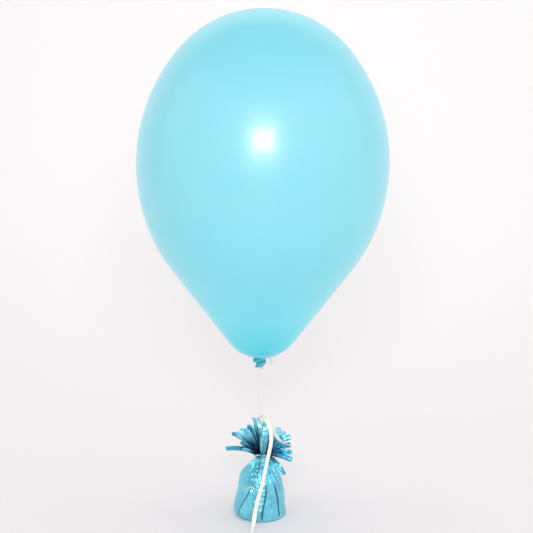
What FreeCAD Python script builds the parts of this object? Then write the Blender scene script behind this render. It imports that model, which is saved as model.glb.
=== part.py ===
# Latex balloon tied to a foil balloon weight with curling ribbon.
#
# The object stands on a table. Sizes are millimetres. The origin is the centre of the weight's base on the
# table, +Z is up through the weight, the ribbon and the balloon, and -Y is the front.

import FreeCAD, Part
import math
import os

import Sketcher

os.makedirs("parts", exist_ok=True)
doc = FreeCAD.newDocument("BalloonOnWeight")
sizes = doc.addObject("Spreadsheet::Sheet", "Sizes")

# ----------------------------------------------------------------------------------------------------------
# Driving dimensions
# ----------------------------------------------------------------------------------------------------------

DIMENSIONS = {
    # balloon body: crown arc, side arc, straight flank and round nose, all tangent
    "BalloonDiameter": 283,
    "CrownHeight": 170,  # from the widest level up to the crown
    "CrownRadius": 124,
    "FlankAngle": 37,  # between the straight flank and the upright, in degrees
    "NoseRadius": 46.7,
    "SkinWall": 0.2,  # stands in for stretched latex about 0.01 thick
    # neck, knot and lip of the latex
    "NeckRadius": 4.2,
    "NeckLength": 2.2,
    "KnotHalfLength": 7.4,
    "KnotHalfDepth": 5,
    "KnotHalfHeight": 4.7,
    "KnotShift": -2,
    "LipRadius": 1.9,
    "LipBead": 0.7,
    "LipSide": -5.2,
    "LipFront": -1.5,
    "LipSink": 0.4,  # how far the bead beds into the knot
    # ribbon
    "RibbonWidth": 5,
    "RibbonBuild": 0.5,  # stands in for ribbon about 0.1 thick
    "TetherLength": 40.8,
    "BendGap": 0.6,
    "BendLength": 11,
    "TwistGap": 0.4,
    "DropHeight": 17.5,  # from the twist up to the balloon's lowest point
    "DropTurn": 60,  # steepest lean of the ribbon as it passes behind the latex knot, in degrees
    "WrapHeight": 1.3,
    "WrapBelow": 0.4,  # gap between the balloon and the ribbon turns
    "WrapBuild": 1.1,
    "WrapRound": 0.4,
    "TieKnotWide": 2,
    "TieKnotDeep": 1.8,
    "TieKnotHigh": 1.3,
    "TieKnotSink": 0.5,
    "EndLength": 8.5,
    "EndWidth": 3,
    "EndShift": 0.5,  # from the middle of the tie knot out to where the short end leaves it
    "EndSink": 0.16,  # how far the short end starts inside the tie knot
    "EndRootLean": 146,
    "EndTipLean": 178,
    # ribbon knot at the weight's loop
    "EyeGap": 0.6,
    "EyeWall": 0.7,
    "EyeWidth": 2,
    "EyeBoreWidth": 8,  # longer than the eye is wide, so that the hole goes right through
    "LoopKnotRise": 3.2,
    "LoopKnotWide": 2.6,
    "LoopKnotDeep": 2.2,
    "LoopKnotHigh": 2.2,
    "SwayGap": 0.4,
    # ribbon ends
    "TailTube": 2,  # round tube standing in for the flat ribbon
    "CoilInner": 20.5,
    "CoilOuter": 34.5,
    "CoilAcross": 24,
    "CoilForward": 95,
    "TailLaidFor": 31,  # the wrap's radius that the long tail's route below is laid over
    # foil wrap of the weight
    "BaseRadius": 29,
    "BaseEdgeRadius": 9,
    "WrapRadius": 31,
    "WidestHeight": 8,
    "SideBulge": 140,
    "ShoulderRadius": 23.5,
    "ShoulderHeight": 47,
    "ShoulderBulge": 21,
    "GatherHeight": 65,
    "FoilWall": 1,
    "BottomFoil": 0.5,
    # ballast inside
    "CupMouthRadius": 27.8,
    "CupTopRadius": 21.3,
    "CupHeight": 47,
    "CupWall": 1,
    "LidThickness": 1,
    "FitGap": 0.1,
    "CastGap": 0.1,
    "FillHeight": 41,
    # gathered neck of the foil, its tie and the wire loop
    "GatherRadius": 8,
    "WaistRadius": 7,
    "WaistHeight": 4,
    "GatherBelow": 5,
    "GatherAbove": 9,
    "TieWidth": 3,
    "TieBuild": 1.5,
    "TieRound": 0.5,
    "StemRadius": 0.9,
    "StemLength": 35.8,
    "LoopRadius": 2.6,
    "LoopWire": 0.5,
    # fringe strips
    "StripWidth": 5,
    "StripBuild": 0.4,  # stands in for foil about 0.03 thick
    "OuterRoot": 7.2,
    "MiddleRoot": 4.9,
    "InnerRoot": 2.85,
}

# Fringe strips by layer: direction round the neck, lean from upright at the root, lean at the tip (all in
# degrees) and length. Direction 0 is to the right and 270 to the front.
FRINGE = {
    "Outer": [
        (312, 80, 150, 40),
        (353, 62, 108, 30),
        (34, 42, 92, 34),
        (76, 40, 80, 38),
        (118, 38, 74, 40),
        (159, 35, 80, 38),
        (200, 60, 90, 37),
        (242, 66, 112, 14),
    ],
    "Middle": [
        (338, 46, 88, 34),
        (38, 32, 70, 38),
        (98, 25, 55, 40),
        (158, 24, 56, 38),
        (218, 34, 84, 22),
        (278, 8, 16, 28),
    ],
    "Inner": [
        (290, 4, 10, 34),
        (18, 14, 46, 36),
        (110, 6, 14, 39),
        (198, 8, 22, 40),
    ],
}

# The long ribbon end: from the knot over the fringe, down the front of the weight, along the table to the coil.
LONG_TAIL = [
    (4.0, -1.4, 117.6),
    (8.6, -5.0, 113.8),
    (12.0, -12.0, 104.0),
    (11.3, -17.5, 91.5),
    (8.2, -19.5, 78.0),
    (5.2, -22.0, 64.5),
    (2.6, -26.0, 51.5),
    (-1.2, -30.5, 38.4),
    (-4.9, -33.8, 25.0),
    (-7.8, -36.0, 11.0),
    (-9.2, -43.0, 1.3),
    (-10.8, -56.0, 1.2),
    (-10.4, -76.0, 1.2),
    (-10.9, -95.0, 1.2),
]

# The short ribbon end: out to the right over the fringe.
SHORT_TAIL = [
    (4.0, 1.4, 118.4),
    (9.6, -1.0, 112.0),
    (15.0, -7.5, 101.5),
    (22.0, -12.0, 92.6),
    (30.0, -12.8, 89.4),
    (37.5, -12.0, 89.6),
]

for layer, strips in FRINGE.items():
    for number, (direction, rise, droop, length) in enumerate(strips, 1):
        DIMENSIONS[f"{layer}Direction{number}A"] = direction
        DIMENSIONS[f"{layer}Rise{number}A"] = rise
        DIMENSIONS[f"{layer}Droop{number}A"] = droop
        DIMENSIONS[f"{layer}Length{number}A"] = length

for row, (alias, value) in enumerate(DIMENSIONS.items(), 1):
    sizes.set(f"A{row}", alias)
    sizes.set(f"B{row}", str(value))
    sizes.setAlias(f"B{row}", alias)
doc.recompute()


def s(alias):
    """The expression that reads one driving dimension."""
    return f"Sizes.{alias}"


def measure(expression):
    """The number that an expression gives now."""
    return float(sizes.evalExpression(expression))


# ----------------------------------------------------------------------------------------------------------
# Heights worked out from the driving dimensions
# ----------------------------------------------------------------------------------------------------------

FRINGE_FOOT = f"({s('GatherHeight')} + {s('GatherAbove')})"
LOOP_TOP = f"({FRINGE_FOOT} + {s('StemLength')} + 2 * {s('LoopRadius')})"
LOOP_KNOT = f"({LOOP_TOP} + {s('LoopKnotRise')})"
TETHER_FOOT = f"({LOOP_KNOT} + {s('LoopKnotWide')} + {s('SwayGap')})"
BEND_FOOT = f"({TETHER_FOOT} + {s('TetherLength')} + {s('BendGap')})"
TWIST_FOOT = f"({BEND_FOOT} + {s('BendLength')} + {s('TwistGap')})"
BALLOON_BOTTOM = f"({TWIST_FOOT} + {s('DropHeight')})"
WRAP_TOP = f"({BALLOON_BOTTOM} - {s('WrapBelow')})"
WRAP_MIDDLE = f"({WRAP_TOP} - {s('WrapHeight')} / 2)"
WRAP_INNER = f"({s('NeckRadius')} + {s('FitGap')})"
WRAP_OUTER = f"({WRAP_INNER} + {s('WrapBuild')})"
KNOT_MIDDLE = f"({BALLOON_BOTTOM} - {s('NeckLength')} - {s('KnotHalfHeight')})"


# ----------------------------------------------------------------------------------------------------------
# Helpers
# ----------------------------------------------------------------------------------------------------------


ON_AXIS = "0"
UPRIGHT_AXIS = -2
LEVEL_AXIS = -1


def new_body(name):
    body = doc.addObject("PartDesign::Body", name)
    body.Label = name
    return body


def new_sketch(body, name, role="XZ_Plane"):
    """A sketch on one of the body's own origin planes; in XZ_Plane its axes are X and Z."""
    plane = [feature for feature in body.Origin.OriginFeatures if feature.Role == role][0]
    sketch = body.newObject("Sketcher::SketchObject", name)
    sketch.AttachmentSupport = [(plane, "")]
    sketch.MapMode = "FlatFace"
    return sketch


def arc_between(start, end, radius, side):
    """An arc that bulges to the left of the way from start to end (side 1) or to the right (side -1)."""
    chord = end - start
    left = FreeCAD.Vector(-chord.y, chord.x, 0).normalize()
    reach = math.sqrt(radius**2 - (chord.Length / 2) ** 2)
    centre = (start + end) / 2 - left * side * reach
    first, last = (end, start) if side > 0 else (start, end)
    from_angle = math.atan2(first.y - centre.y, first.x - centre.x)
    to_angle = math.atan2(last.y - centre.y, last.x - centre.x)
    circle = Part.Circle(centre, FreeCAD.Vector(0, 0, 1), radius)
    return Part.ArcOfCircle(circle, from_angle, to_angle)


def outline(sketch, corners, arcs=None):
    """A closed outline. Corners are pairs of expressions; arcs gives (radius, side) for the edges that bend."""
    arcs = arcs or {}
    points = [FreeCAD.Vector(measure(x), measure(y), 0) for x, y in corners]
    count = len(points)
    ends = []
    for i, start in enumerate(points):
        end = points[(i + 1) % count]
        if i in arcs:
            radius, side = arcs[i]
            sketch.addGeometry(arc_between(start, end, measure(radius), side), False)
            first = 2 if side > 0 else 1
        else:
            sketch.addGeometry(Part.LineSegment(start, end), False)
            first = 1
        ends.append((first, 3 - first))
    for i in range(count):
        before = (i - 1) % count
        sketch.addConstraint(Sketcher.Constraint("Coincident", before, ends[before][1], i, ends[i][0]))
    for i, (x, y) in enumerate(corners):
        for kind, value, expression in (("DistanceX", points[i].x, x), ("DistanceY", points[i].y, y)):
            if expression == ON_AXIS:
                axis = UPRIGHT_AXIS if kind == "DistanceX" else LEVEL_AXIS
                sketch.addConstraint(Sketcher.Constraint("PointOnObject", i, ends[i][0], axis))
                continue
            index = sketch.addConstraint(Sketcher.Constraint(kind, -1, 1, i, ends[i][0], value))
            sketch.setExpression(f"Constraints[{index}]", expression)
    for i, (radius, _) in arcs.items():
        index = sketch.addConstraint(Sketcher.Constraint("Radius", i, measure(radius)))
        sketch.setExpression(f"Constraints[{index}]", radius)


def turned(name, corners, arcs=None):
    """A body turned about the upright axis from an outline of radius and height."""
    body = new_body(name)
    sketch = new_sketch(body, f"{name}_outline")
    outline(sketch, corners, arcs)
    turn = body.newObject("PartDesign::Revolution", f"{name}_turn")
    turn.Profile = sketch
    turn.ReferenceAxis = (sketch, ["V_Axis"])
    turn.Angle = 360
    return body


def ring(name, inner, outer, foot, height, rounding):
    """A band round the upright axis with rounded edges."""
    top = f"({foot} + {height})"
    body = turned(name, [(inner, foot), (outer, foot), (outer, top), (inner, top)])
    doc.recompute()
    turn = body.Tip
    edges = []
    for number, edge in enumerate(turn.Shape.Edges, 1):
        if hasattr(edge.Curve, "Radius") and abs(edge.Curve.Radius - measure(outer)) < 1e-6:
            edges.append(f"Edge{number}")
    fillet = body.newObject("PartDesign::Fillet", f"{name}_round")
    fillet.Base = (turn, edges)
    fillet.setExpression("Radius", rounding)
    return body


def bent_strip(name, foot, spans, width, build, role="XZ_Plane"):
    """A flat strip bent in one upright plane, padded evenly to both sides of it.

    foot is the (across, height) of its middle line's start. Each span is (lean at its start, lean at its end,
    length); leans are from upright. A span's middle line is an arc, or straight where both leans are the same.
    """
    across, height = foot
    half = f"({build} / 2)"
    outside, inside, outside_arcs, inside_arcs = [], [], [], []
    lean = spans[0][0]
    outside.append((f"{across} - {half} * cos({lean})", f"{height} + {half} * sin({lean})"))
    inside.append((f"{across} + {half} * cos({lean})", f"{height} - {half} * sin({lean})"))
    for start, end, length in spans:
        if start == end:
            across = f"({across} + {length} * sin({end}))"
            height = f"({height} + {length} * cos({end}))"
            outside_arcs.append(None)
            inside_arcs.append(None)
        else:
            bend = f"({length} * 180 / pi / ({end} - {start}))"
            across = f"({across} + {bend} * (cos({start}) - cos({end})))"
            height = f"({height} + {bend} * (sin({end}) - sin({start})))"
            side = 1 if measure(bend) > 0 else -1
            outside_arcs.append((f"abs({bend} + {half})", side))
            inside_arcs.append((f"abs({bend} - {half})", -side))
        outside.append((f"{across} - {half} * cos({end})", f"{height} + {half} * sin({end})"))
        inside.append((f"{across} + {half} * cos({end})", f"{height} - {half} * sin({end})"))
    corners = outside + inside[::-1]
    edges = outside_arcs + [None] + inside_arcs[::-1]
    arcs = {i: edge for i, edge in enumerate(edges) if edge}
    body = new_body(name)
    sketch = new_sketch(body, f"{name}_outline", role)
    outline(sketch, corners, arcs)
    pad = body.newObject("PartDesign::Pad", f"{name}_pad")
    pad.Profile = sketch
    pad.SideType = "Symmetric"
    pad.setExpression("Length", width)
    return body


def primitive(kind, name, places=None, **properties):
    """A Part primitive whose properties and place are bound to expressions."""
    made = doc.addObject(kind, name)
    for key, expression in properties.items():
        made.setExpression(key, expression)
    for axis, expression in (places or {}).items():
        made.setExpression(f"Placement.Base.{axis}", expression)
    return made


def ellipsoid(name, wide, deep, high, places):
    """A whole ellipsoid with half sizes along X, Y and Z."""
    made = primitive("Part::Ellipsoid", name, places, Radius1=high, Radius2=wide, Radius3=deep)
    made.Angle1 = -90
    return made


# ----------------------------------------------------------------------------------------------------------
# Ballast: slug, cup and lid
# ----------------------------------------------------------------------------------------------------------

lid_top = f"({s('BottomFoil')} + {s('LidThickness')})"
cup_top = f"({s('BottomFoil')} + {s('CupHeight')})"
cup_slope = f"(({s('CupMouthRadius')} - {s('CupTopRadius')}) / {s('CupHeight')})"


def cup_radius(height):
    """The cup's outer radius at a height above the table."""
    return f"({s('CupMouthRadius')} - {cup_slope} * ({height} - {s('BottomFoil')}))"


cup_ceiling = f"({cup_top} - {s('CupWall')})"
ballast_cup = turned(
    "ballast_cup",
    [
        (f"{cup_radius(s('BottomFoil'))} - {s('CupWall')}", s("BottomFoil")),
        (cup_radius(s("BottomFoil")), s("BottomFoil")),
        (cup_radius(cup_top), cup_top),
        (ON_AXIS, cup_top),
        (ON_AXIS, cup_ceiling),
        (f"{cup_radius(cup_ceiling)} - {s('CupWall')}", cup_ceiling),
    ],
)

lid_radius = f"({cup_radius(lid_top)} - {s('CupWall')} - {s('FitGap')})"
cup_lid = primitive(
    "Part::Cylinder", "cup_lid", {"z": s("BottomFoil")}, Radius=lid_radius, Height=s("LidThickness")
)

slug_foot = f"({lid_top} + {s('CastGap')})"
slug_top = f"({slug_foot} + {s('FillHeight')})"
slug_inset = f"({s('CupWall')} + {s('CastGap')})"
ballast_slug = turned(
    "ballast_slug",
    [
        (ON_AXIS, slug_foot),
        (f"{cup_radius(slug_foot)} - {slug_inset}", slug_foot),
        (f"{cup_radius(slug_top)} - {slug_inset}", slug_top),
        (ON_AXIS, slug_top),
    ],
)

# ----------------------------------------------------------------------------------------------------------
# Foil wrap, gathered neck and tie
# ----------------------------------------------------------------------------------------------------------

gather_hole = f"({s('GatherRadius')} + {s('FitGap')})"
foil_wrap = turned(
    "foil_wrap",
    [
        (ON_AXIS, ON_AXIS),
        (s("BaseRadius"), ON_AXIS),
        (s("WrapRadius"), s("WidestHeight")),
        (s("ShoulderRadius"), s("ShoulderHeight")),
        (f"{gather_hole} + {s('FoilWall')}", s("GatherHeight")),
        (gather_hole, s("GatherHeight")),
        (f"{s('ShoulderRadius')} - {s('FoilWall')}", s("ShoulderHeight")),
        (f"{s('WrapRadius')} - {s('FoilWall')}", s("WidestHeight")),
        (f"{s('BaseRadius')} - {s('FoilWall')}", s("BottomFoil")),
        (ON_AXIS, s("BottomFoil")),
    ],
    {
        1: (s("BaseEdgeRadius"), -1),
        2: (s("SideBulge"), -1),
        3: (s("ShoulderBulge"), -1),
        5: (f"{s('ShoulderBulge')} - {s('FoilWall')}", 1),
        6: (f"{s('SideBulge')} - {s('FoilWall')}", 1),
        7: (f"{s('BaseEdgeRadius')} - {s('FoilWall')} / 2", 1),
    },
)

gather_foot = f"({s('GatherHeight')} - {s('GatherBelow')})"
waist_middle = f"({s('GatherHeight')} + {s('WaistHeight')})"
waist_half = f"({s('TieWidth')} / 2 + {s('FitGap')})"
waist_slope = f"({s('GatherRadius')} - {s('WaistRadius')})"
foil_gather = turned(
    "foil_gather",
    [
        (ON_AXIS, gather_foot),
        (s("GatherRadius"), gather_foot),
        (s("GatherRadius"), f"{waist_middle} - {waist_half} - {waist_slope}"),
        (s("WaistRadius"), f"{waist_middle} - {waist_half}"),
        (s("WaistRadius"), f"{waist_middle} + {waist_half}"),
        (s("GatherRadius"), f"{waist_middle} + {waist_half} + {waist_slope}"),
        (s("GatherRadius"), FRINGE_FOOT),
        (ON_AXIS, FRINGE_FOOT),
    ],
)

tie_inner = f"({s('WaistRadius')} + {s('FitGap')})"
gather_tie = ring(
    "gather_tie",
    tie_inner,
    f"({tie_inner} + {s('TieBuild')})",
    f"({waist_middle} - {s('TieWidth')} / 2)",
    s("TieWidth"),
    s("TieRound"),
)

# ----------------------------------------------------------------------------------------------------------
# Fringe: three layers of strips standing on the gathered neck
# ----------------------------------------------------------------------------------------------------------


def fringe_layer(layer):
    """One foil sheet's strips, each bent in its own direction, as one group of separate solids."""
    made = []
    for number in range(1, len(FRINGE[layer]) + 1):
        rise = s(f"{layer}Rise{number}A")
        droop = s(f"{layer}Droop{number}A")
        reach = s(f"{layer}Length{number}A")
        lift = f"({FRINGE_FOOT} + {s('StripBuild')} / 2 * sin({rise}))"
        strip = bent_strip(
            f"{layer.lower()}_strip_{number}",
            (s(f"{layer}Root"), lift),
            [(rise, droop, reach)],
            s("StripWidth"),
            s("StripBuild"),
        )
        strip.Placement.Rotation = FreeCAD.Rotation(FreeCAD.Vector(0, 0, 1), 1)
        strip.setExpression("Placement.Rotation.Angle", s(f"{layer}Direction{number}A"))
        made.append(strip)
    group = doc.addObject("Part::Compound", f"fringe_{layer.lower()}")
    group.Links = made
    return group


fringes = [fringe_layer(layer) for layer in FRINGE]

# ----------------------------------------------------------------------------------------------------------
# Wire loop in the middle of the fringe
# ----------------------------------------------------------------------------------------------------------

stem = primitive("Part::Cylinder", "loop_stem", {"z": FRINGE_FOOT}, Radius=s("StemRadius"), Height=s("StemLength"))
eye = primitive(
    "Part::Torus",
    "loop_eye",
    {"z": f"{LOOP_TOP} - {s('LoopRadius')}"},
    Radius1=s("LoopRadius"),
    Radius2=s("LoopWire"),
)
eye.Placement.Rotation = FreeCAD.Rotation(FreeCAD.Vector(1, 0, 0), 90)
hang_loop = doc.addObject("Part::MultiFuse", "hang_loop")
hang_loop.Shapes = [stem, eye]

# ----------------------------------------------------------------------------------------------------------
# Ribbon knot on the loop: an eye round the wire with the knot above it
# ----------------------------------------------------------------------------------------------------------


def across_cylinder(name, radius, width):
    """A cylinder lying along X, centred on the top wire of the loop."""
    made = primitive(
        "Part::Cylinder", name, {"x": f"-({width}) / 2", "z": LOOP_TOP}, Radius=radius, Height=width
    )
    made.Placement.Rotation = FreeCAD.Rotation(FreeCAD.Vector(0, 1, 0), 90)
    return made


eye_hole = f"({s('LoopWire')} + {s('EyeGap')})"
eye_body = across_cylinder("ribbon_eye", f"{eye_hole} + {s('EyeWall')}", s("EyeWidth"))
eye_bore = across_cylinder("ribbon_eye_bore", eye_hole, s("EyeBoreWidth"))
knot_ball = ellipsoid(
    "ribbon_knot_ball", s("LoopKnotWide"), s("LoopKnotDeep"), s("LoopKnotHigh"), {"z": LOOP_KNOT}
)
knot_whole = doc.addObject("Part::MultiFuse", "ribbon_knot_whole")
knot_whole.Shapes = [eye_body, knot_ball]
loop_ribbon_knot = doc.addObject("Part::Cut", "loop_ribbon_knot")
loop_ribbon_knot.Base = knot_whole
loop_ribbon_knot.Tool = eye_bore

# ----------------------------------------------------------------------------------------------------------
# Tether: the straight ribbon and the short stretch at its top where it bends and twists
# ----------------------------------------------------------------------------------------------------------


def upright_ribbon(name, foot, length):
    """A straight stretch of ribbon, flat side to the front."""
    return primitive(
        "Part::Box",
        name,
        {"x": f"-{s('RibbonWidth')} / 2", "y": f"-{s('RibbonBuild')} / 2", "z": foot},
        Length=s("RibbonWidth"),
        Width=s("RibbonBuild"),
        Height=length,
    )


tether_ribbon = upright_ribbon("tether_ribbon", TETHER_FOOT, s("TetherLength"))
tether_bend = upright_ribbon("tether_bend", BEND_FOOT, s("BendLength"))

# ----------------------------------------------------------------------------------------------------------
# Balloon body
# ----------------------------------------------------------------------------------------------------------

girth = f"({s('BalloonDiameter')} / 2)"
crown_rise = f"({s('CrownHeight')} - {s('CrownRadius')})"
side_radius = (
    f"(({s('CrownRadius')} ^ 2 - {girth} ^ 2 - {crown_rise} ^ 2) / (2 * ({s('CrownRadius')} - {girth})))"
)
side_back = f"({side_radius} - {girth})"
turn_cos = f"({side_back} / ({side_radius} - {s('CrownRadius')}))"
turn_sin = f"({crown_rise} / ({side_radius} - {s('CrownRadius')}))"
flank_cos = f"cos({s('FlankAngle')})"
flank_sin = f"sin({s('FlankAngle')})"
nose_drop = f"(({side_radius} - {side_back} * {flank_cos} - {s('NoseRadius')}) / {flank_sin})"
WIDEST_LEVEL = f"({BALLOON_BOTTOM} + {nose_drop} + {s('NoseRadius')})"


def balloon_side(inset):
    """The balloon's outline from the nose up to the crown, moved inwards by inset."""
    return [
        (ON_AXIS, f"{BALLOON_BOTTOM} + {inset}"),
        (
            f"({s('NoseRadius')} - {inset}) * {flank_cos}",
            f"{WIDEST_LEVEL} - {nose_drop} - ({s('NoseRadius')} - {inset}) * {flank_sin}",
        ),
        (
            f"({side_radius} - {inset}) * {flank_cos} - {side_back}",
            f"{WIDEST_LEVEL} - ({side_radius} - {inset}) * {flank_sin}",
        ),
        (
            f"({side_radius} - {inset}) * {turn_cos} - {side_back}",
            f"{WIDEST_LEVEL} + ({side_radius} - {inset}) * {turn_sin}",
        ),
        (ON_AXIS, f"{WIDEST_LEVEL} + {s('CrownHeight')} - {inset}"),
    ]


balloon_skin = turned(
    "balloon_skin",
    balloon_side("0") + balloon_side(s("SkinWall"))[::-1],
    {
        0: (s("NoseRadius"), -1),
        2: (side_radius, -1),
        3: (s("CrownRadius"), -1),
        5: (f"{s('CrownRadius')} - {s('SkinWall')}", 1),
        6: (f"{side_radius} - {s('SkinWall')}", 1),
        8: (f"{s('NoseRadius')} - {s('SkinWall')}", 1),
    },
)

# ----------------------------------------------------------------------------------------------------------
# Latex neck, knot and lip
# ----------------------------------------------------------------------------------------------------------

latex_neck = primitive(
    "Part::Cylinder",
    "latex_neck",
    {"z": f"{BALLOON_BOTTOM} - {s('NeckLength')}"},
    Radius=s("NeckRadius"),
    Height=s("NeckLength"),
)
latex_knot = ellipsoid(
    "latex_knot",
    s("KnotHalfLength"),
    s("KnotHalfDepth"),
    s("KnotHalfHeight"),
    {"x": s("KnotShift"), "z": KNOT_MIDDLE},
)
lip_reach = f"(({s('LipSide')} - {s('KnotShift')}) / {s('KnotHalfLength')})"
lip_depth = f"({s('LipFront')} / {s('KnotHalfDepth')})"
knot_underside = f"({KNOT_MIDDLE} - {s('KnotHalfHeight')} * sqrt(1 - {lip_reach} ^ 2 - {lip_depth} ^ 2))"
latex_lip = primitive(
    "Part::Torus",
    "latex_lip",
    {"x": s("LipSide"), "y": s("LipFront"), "z": f"{knot_underside} - {s('LipBead')} + {s('LipSink')}"},
    Radius1=s("LipRadius"),
    Radius2=s("LipBead"),
)

# ----------------------------------------------------------------------------------------------------------
# Ribbon at the balloon's neck: turns, knot, short end and the run down behind the latex knot
# ----------------------------------------------------------------------------------------------------------

neck_ribbon_turns = ring(
    "neck_ribbon_turns",
    WRAP_INNER,
    WRAP_OUTER,
    f"({WRAP_TOP} - {s('WrapHeight')})",
    s("WrapHeight"),
    s("WrapRound"),
)

tie_knot_side = f"({WRAP_OUTER} + {s('TieKnotWide')} - {s('TieKnotSink')})"
neck_ribbon_knot = ellipsoid(
    "neck_ribbon_knot",
    s("TieKnotWide"),
    s("TieKnotDeep"),
    s("TieKnotHigh"),
    {"x": tie_knot_side, "z": WRAP_MIDDLE},
)

neck_ribbon_end = bent_strip(
    "neck_ribbon_end",
    (f"({tie_knot_side} + {s('EndShift')})", f"({WRAP_MIDDLE} - {s('TieKnotHigh')} + {s('EndSink')})"),
    [(s("EndRootLean"), s("EndTipLean"), s("EndLength"))],
    s("EndWidth"),
    s("RibbonBuild"),
)

drop_back = f"({WRAP_OUTER} + {s('RibbonBuild')} / 2)"
drop_bend = f"({drop_back} / 2 / (1 - cos({s('DropTurn')})))"
drop_span = f"({drop_bend} * {s('DropTurn')} * pi / 180)"
drop_climb = f"(2 * {drop_bend} * sin({s('DropTurn')}))"
drop_head = f"({WRAP_TOP} - {TWIST_FOOT} - {drop_climb})"
neck_ribbon_drop = bent_strip(
    "neck_ribbon_drop",
    ("0", TWIST_FOOT),
    [
        ("0", s("DropTurn"), drop_span),
        (s("DropTurn"), "0", drop_span),
        ("0", "0", f"({drop_head} - {s('WrapRound')})"),
    ],
    s("RibbonWidth"),
    s("RibbonBuild"),
    "YZ_Plane",
)

# ----------------------------------------------------------------------------------------------------------
# Free ribbon ends and the coil
# ----------------------------------------------------------------------------------------------------------

ARC_SHARE = 0.45  # of the shorter run beside a point, taken up by the arc there


def ribbon_route(name, points):
    """A path of straight runs joined by tangent arcs, as an object that a sweep can follow."""
    corners = [FreeCAD.Vector(*point) for point in points]
    edges, radii = [], []
    at = corners[0]
    for before, corner, after in zip(corners, corners[1:], corners[2:]):
        back = (before - corner).normalize()
        ahead = (after - corner).normalize()
        half_turn = (math.pi - back.getAngle(ahead)) / 2
        reach = ARC_SHARE * min((before - corner).Length, (after - corner).Length)
        radius = reach / math.tan(half_turn)
        radii.append(radius)
        centre = corner + (back + ahead).normalize() * (radius / math.cos(half_turn))
        crest = centre + (corner - centre).normalize() * radius
        enter = corner + back * reach
        leave = corner + ahead * reach
        edges.append(Part.LineSegment(at, enter).toShape())
        edges.append(Part.Arc(enter, crest, leave).toShape())
        at = leave
    edges.append(Part.LineSegment(at, corners[-1]).toShape())
    route = doc.addObject("Part::Feature", f"{name}_route")
    route.Shape = Part.Wire(edges)
    print(name, "length", round(route.Shape.Length, 1), "arc radii", [round(radius, 1) for radius in radii])
    return route


TAIL_GROWTH = f"({s('WrapRadius')} - {s('TailLaidFor')})"


def over_the_wrap(points):
    """The long tail's route, brought forward with the wrap where it runs below the gathered neck."""
    growth, neck = measure(TAIL_GROWTH), measure(s("GatherHeight"))
    return [(x, y - growth, z) if z < neck else (x, y, z) for x, y, z in points]


def ribbon_tube(name, points):
    """A round tube along a ribbon end's route."""
    route = ribbon_route(name, points)
    start, following = FreeCAD.Vector(*points[0]), FreeCAD.Vector(*points[1])
    section = primitive("Part::Circle", f"{name}_section", None, Radius=f"{s('TailTube')} / 2")
    section.Placement = FreeCAD.Placement(start, FreeCAD.Rotation(FreeCAD.Vector(0, 0, 1), following - start))
    tube = doc.addObject("Part::Sweep", name)
    tube.Sections = [section]
    tube.Spine = (route, [f"Edge{number}" for number in range(1, len(route.Shape.Edges) + 1)])
    tube.Solid = True
    tube.Frenet = False
    return tube, route


ribbon_tail_long, long_route = ribbon_tube("ribbon_tail_long", over_the_wrap(LONG_TAIL))
ribbon_tail_short, short_route = ribbon_tube("ribbon_tail_short", SHORT_TAIL)

coil_solid = primitive("Part::Cylinder", "coil_solid", None, Radius=s("CoilOuter"), Height=s("RibbonWidth"))
coil_hole = primitive("Part::Cylinder", "coil_hole", None, Radius=s("CoilInner"), Height=s("RibbonWidth"))
for piece in (coil_solid, coil_hole):
    piece.setExpression("Placement.Base.x", s("CoilAcross"))
    piece.setExpression("Placement.Base.y", f"-({s('CoilForward')} + {TAIL_GROWTH})")
ribbon_coil = doc.addObject("Part::Cut", "ribbon_coil")
ribbon_coil.Base = coil_solid
ribbon_coil.Tool = coil_hole

# ----------------------------------------------------------------------------------------------------------
# Check and write
# ----------------------------------------------------------------------------------------------------------

doc.recompute()

parts = [
    ballast_slug,
    ballast_cup,
    cup_lid,
    foil_wrap,
    foil_gather,
    gather_tie,
    *fringes,
    hang_loop,
    loop_ribbon_knot,
    tether_ribbon,
    tether_bend,
    neck_ribbon_drop,
    neck_ribbon_turns,
    neck_ribbon_knot,
    neck_ribbon_end,
    latex_lip,
    latex_knot,
    latex_neck,
    balloon_skin,
    ribbon_tail_long,
    ribbon_tail_short,
    ribbon_coil,
]

for item in doc.Objects:
    if "Invalid" in item.State or "Error" in item.State:
        raise RuntimeError(f"{item.Label} did not compute: {item.State}")
for item in parts:
    if item.Shape.isNull() or not item.Shape.isValid():
        raise RuntimeError(f"{item.Label} has no valid shape")
    if item.Shape.Volume <= 0:
        raise RuntimeError(f"{item.Label} has no volume")

section_area = math.pi * (measure(s("TailTube")) / 2) ** 2
for tube, route in ((ribbon_tail_long, long_route), (ribbon_tail_short, short_route)):
    expected = section_area * route.Shape.Length
    print(tube.Label, "volume", round(tube.Shape.Volume, 1), "of section times length", round(expected, 1))

print("loop top", round(measure(LOOP_TOP), 2), "loop knot", round(measure(LOOP_KNOT), 2))
print("bend", round(measure(BEND_FOOT), 2), "twist", round(measure(TWIST_FOOT), 2))
print("balloon bottom", round(measure(BALLOON_BOTTOM), 2), "widest", round(measure(WIDEST_LEVEL), 2))

for item in parts:
    box = item.Shape.BoundBox
    print(f"{item.Label:20s} {item.Shape.Volume:10.1f} mm3  z {box.ZMin:7.2f} to {box.ZMax:7.2f}")
    item.Shape.exportStep(f"parts/{item.Label}.step")
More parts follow.
